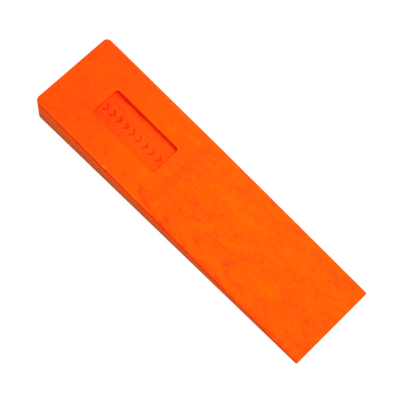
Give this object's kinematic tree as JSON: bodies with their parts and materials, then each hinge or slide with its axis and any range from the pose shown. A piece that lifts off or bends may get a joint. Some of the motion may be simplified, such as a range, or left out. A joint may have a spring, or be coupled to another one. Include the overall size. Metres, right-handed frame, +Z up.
{
  "type": "felling wedge",
  "caption": "Solid moulded plastic felling wedge with a two-stage taper, square struck butt, thin blunt tip, recessed panel with raised chevrons and a shallow cross groove.",
  "frame": {"origin": "middle of the flat underside, halfway between butt and tip", "axes": "+X from the butt to the thin tip along the length, +Y across the width, +Z up from the flat underside"},
  "size_m": [0.254, 0.0698, 0.0253],
  "materials": {
    "wedge_plastic": "smooth moulded orange plastic with a satin sheen"
  },
  "bodies": {
    "root": {"wedge_body": "wedge_plastic"}
  },
  "joints": []
}
